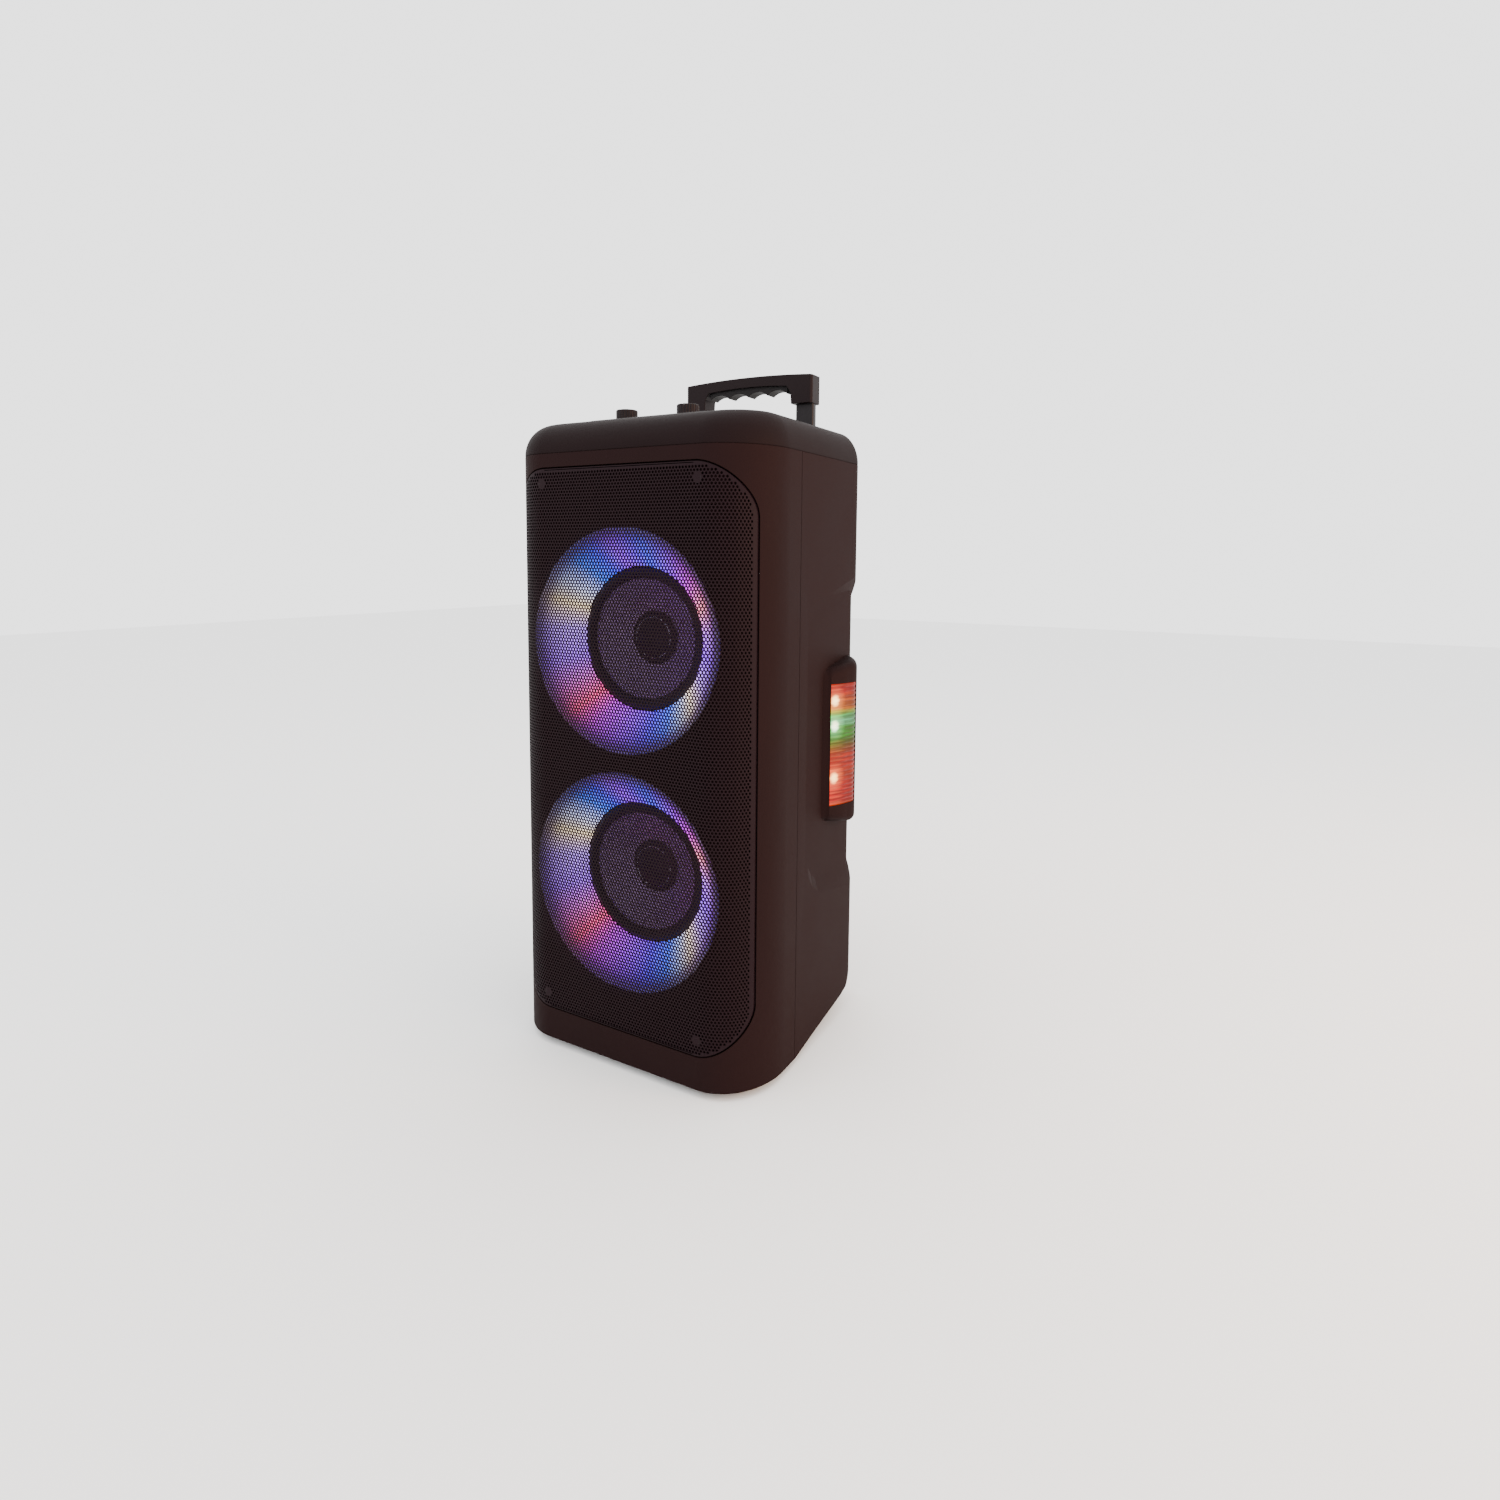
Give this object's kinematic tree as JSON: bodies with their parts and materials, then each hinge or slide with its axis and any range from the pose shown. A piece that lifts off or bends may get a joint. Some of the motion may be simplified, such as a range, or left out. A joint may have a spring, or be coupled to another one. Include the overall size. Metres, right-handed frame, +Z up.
{
  "type": "party speaker",
  "caption": "Trolley party speaker with lit drivers behind a curved grille, side lights, control panel, wheels and pull-out handle.",
  "frame": {"origin": "on the floor under the middle of the bounding box", "axes": "+X to the right as seen from the front, +Y towards the rear, +Z up; the grille faces -Y"},
  "size_m": [0.3258, 0.276, 0.7228],
  "materials": {
    "shell_black": "fine matt texture",
    "panel_black": "satin",
    "display_clear": "gloss",
    "circuit_board": "solder mask",
    "steel": "bright",
    "grille_metal": "powder coat",
    "screw_black": "black oxide",
    "basket_steel": "painted",
    "magnet": "sintered",
    "tube_metal": "dark satin",
    "grip_plastic": "satin",
    "grip_rubber": "matt",
    "socket_plastic": "satin",
    "battery_case": "moulded",
    "knob_plastic": "satin",
    "lens_clear": "clear ribbed",
    "hub_plastic": "moulded",
    "tyre": "matt",
    "ring_diffuser": "translucent",
    "surround_rubber": "satin",
    "cone_paper": "pressed",
    "cap_black": "satin",
    "coil_copper": "wound",
    "spider_cloth": "corrugated"
  },
  "bodies": {
    "cabinet": {"amplifier_board": "circuit_board", "bass_port": "shell_black", "battery_pack": "battery_case", "case_screws": "screw_black", "control_board": "circuit_board", "control_panel": "panel_black", "display_window": "display_clear", "driver_frames": "basket_steel", "driver_magnets": "magnet", "driver_screws": "screw_black", "front_feet": "grip_rubber", "front_shell": "shell_black", "grille_panel": "grille_metal", "grille_screws": "screw_black", "left_light_housing": "shell_black", "left_light_lens": "lens_clear", "lower_ring_diffuser": "ring_diffuser", "mains_inlet": "socket_plastic", "mic_jacks": "socket_plastic", "outer_tubes": "tube_metal", "potentiometers": "steel", "power_supply": "circuit_board", "power_switch": "socket_plastic", "rear_panel": "panel_black", "rear_shell": "shell_black", "right_light_housing": "shell_black", "right_light_lens": "lens_clear", "ring_light_boards": "circuit_board", "side_light_boards": "circuit_board", "top_cap": "shell_black", "trolley_cover": "shell_black", "upper_ring_diffuser": "ring_diffuser", "usb_port": "steel", "wheel_axles": "steel"},
    "upper_cone_assembly": {"upper_surround": "surround_rubber", "upper_cone": "cone_paper", "upper_dust_cap": "cap_black", "upper_voice_coil": "coil_copper", "upper_spider": "spider_cloth"},
    "lower_cone_assembly": {"lower_surround": "surround_rubber", "lower_cone": "cone_paper", "lower_dust_cap": "cap_black", "lower_voice_coil": "coil_copper", "lower_spider": "spider_cloth"},
    "middle_stage": {"middle_tubes": "tube_metal"},
    "handle": {"inner_tubes": "tube_metal", "grip_shell": "grip_plastic", "grip_insert": "grip_rubber"},
    "handle_release": {"release_button": "grip_plastic"},
    "left_wheel": {"left_wheel_hub": "hub_plastic", "left_wheel_tyre": "tyre"},
    "right_wheel": {"right_wheel_hub": "hub_plastic", "right_wheel_tyre": "tyre"},
    "left_dial": {"left_knob": "knob_plastic"},
    "right_dial": {"right_knob": "knob_plastic"},
    "switch_rocker": {"power_rocker": "socket_plastic"},
    "power_key": {"power_button": "knob_plastic"},
    "source_key": {"source_button": "knob_plastic"},
    "play_key": {"play_button": "knob_plastic"},
    "light_key": {"light_button": "knob_plastic"}
  },
  "joints": [
    {"name": "middle_tube_slide", "type": "slide", "parent": "cabinet", "child": "middle_stage", "axis": [0, 0, 1], "range_m": [0, 0.19]},
    {"name": "handle_slide", "type": "slide", "parent": "middle_stage", "child": "handle", "axis": [0, 0, 1], "range_m": [0, 0.19]},
    {"name": "release_press", "type": "slide", "parent": "handle", "child": "handle_release", "axis": [0, 0, -1], "range_m": [0, 0.002], "stiffness_N_per_m": 700, "springref_m": -0.002},
    {"name": "left_wheel_spin", "type": "hinge", "parent": "cabinet", "child": "left_wheel", "pos_m": [-0.12, 0.102, 0.032], "axis": [1, 0, 0], "continuous": true},
    {"name": "right_wheel_spin", "type": "hinge", "parent": "cabinet", "child": "right_wheel", "pos_m": [0.12, 0.102, 0.032], "axis": [1, 0, 0], "continuous": true},
    {"name": "left_knob_turn", "type": "hinge", "parent": "cabinet", "child": "left_dial", "pos_m": [-0.0375, -0.071, 0.655], "axis": [0, 0, -1], "range_deg": [-150, 150]},
    {"name": "right_knob_turn", "type": "hinge", "parent": "cabinet", "child": "right_dial", "pos_m": [0.0375, -0.071, 0.655], "axis": [0, 0, -1], "range_deg": [-150, 150]},
    {"name": "rocker_tilt", "type": "hinge", "parent": "cabinet", "child": "switch_rocker", "pos_m": [0.022, 0.111, 0.486], "axis": [-1, 0, 0], "range_deg": [0, 18]},
    {"name": "power_press", "type": "slide", "parent": "cabinet", "child": "power_key", "axis": [0, 0, -1], "range_m": [0, 0.0012], "stiffness_N_per_m": 600, "springref_m": -0.0012},
    {"name": "source_press", "type": "slide", "parent": "cabinet", "child": "source_key", "axis": [0, 0, -1], "range_m": [0, 0.0012], "stiffness_N_per_m": 600, "springref_m": -0.0012},
    {"name": "play_press", "type": "slide", "parent": "cabinet", "child": "play_key", "axis": [0, 0, -1], "range_m": [0, 0.0012], "stiffness_N_per_m": 600, "springref_m": -0.0012},
    {"name": "light_press", "type": "slide", "parent": "cabinet", "child": "light_key", "axis": [0, 0, -1], "range_m": [0, 0.0012], "stiffness_N_per_m": 600, "springref_m": -0.0012},
    {"name": "upper_cone_travel", "type": "slide", "parent": "cabinet", "child": "upper_cone_assembly", "axis": [0, 1, 0], "range_m": [-0.003, 0.003], "stiffness_N_per_m": 1600},
    {"name": "lower_cone_travel", "type": "slide", "parent": "cabinet", "child": "lower_cone_assembly", "axis": [0, 1, 0], "range_m": [-0.003, 0.003], "stiffness_N_per_m": 1600}
  ]
}
